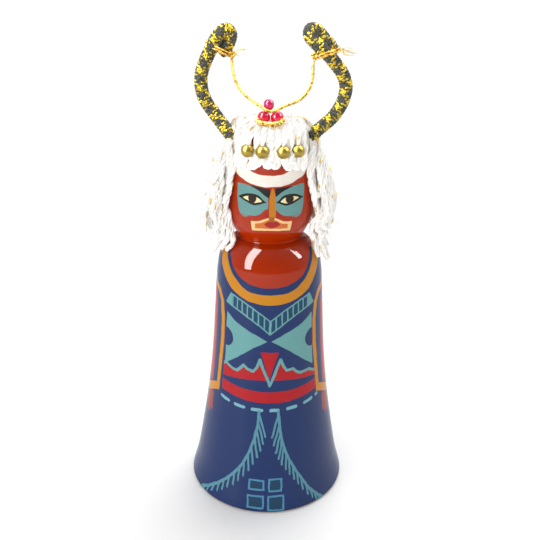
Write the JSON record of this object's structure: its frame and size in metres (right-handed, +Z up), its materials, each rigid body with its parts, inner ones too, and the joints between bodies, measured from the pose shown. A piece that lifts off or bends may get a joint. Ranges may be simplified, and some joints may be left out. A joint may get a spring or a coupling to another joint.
{
  "type": "kachina doll ornament",
  "caption": "Turned and painted wooden doll with a yarn wig, a beaded fringe, two curved braided-cord horns and a thin gold cord hung between their tips.",
  "frame": {"origin": "centre of the flat base", "axes": "+Z up along the turned body's axis; the face looks along -Y; the doll's horns lie along X"},
  "size_m": [0.05, 0.05, 0.1432],
  "materials": {
    "turned_wood": "turned wood, painted in navy, ochre, red and turquoise on bare orange-brown wood, high gloss varnish",
    "white_yarn": "white yarn with a fine metallic thread",
    "gold_bead": "polished gold-coloured metal",
    "red_bead": "glossy red",
    "pink_bead": "pearly deep pink",
    "gold_cord": "twisted gold metallic thread",
    "horn_cord": "dark grey-green braided cord with gold metallic threads"
  },
  "bodies": {
    "root": {"doll_body": "turned_wood", "wig": "white_yarn", "fringe": "white_yarn", "gold_bead_1": "gold_bead", "gold_bead_2": "gold_bead", "gold_bead_3": "gold_bead", "gold_bead_4": "gold_bead", "glass_bead_left": "red_bead", "glass_bead_right": "red_bead", "glass_bead_top": "pink_bead", "bead_cradle": "gold_cord", "horn_left": "horn_cord", "horn_right": "horn_cord", "cord_tie_left": "gold_cord", "cord_tie_right": "gold_cord", "hanging_cord": "gold_cord"}
  },
  "joints": []
}
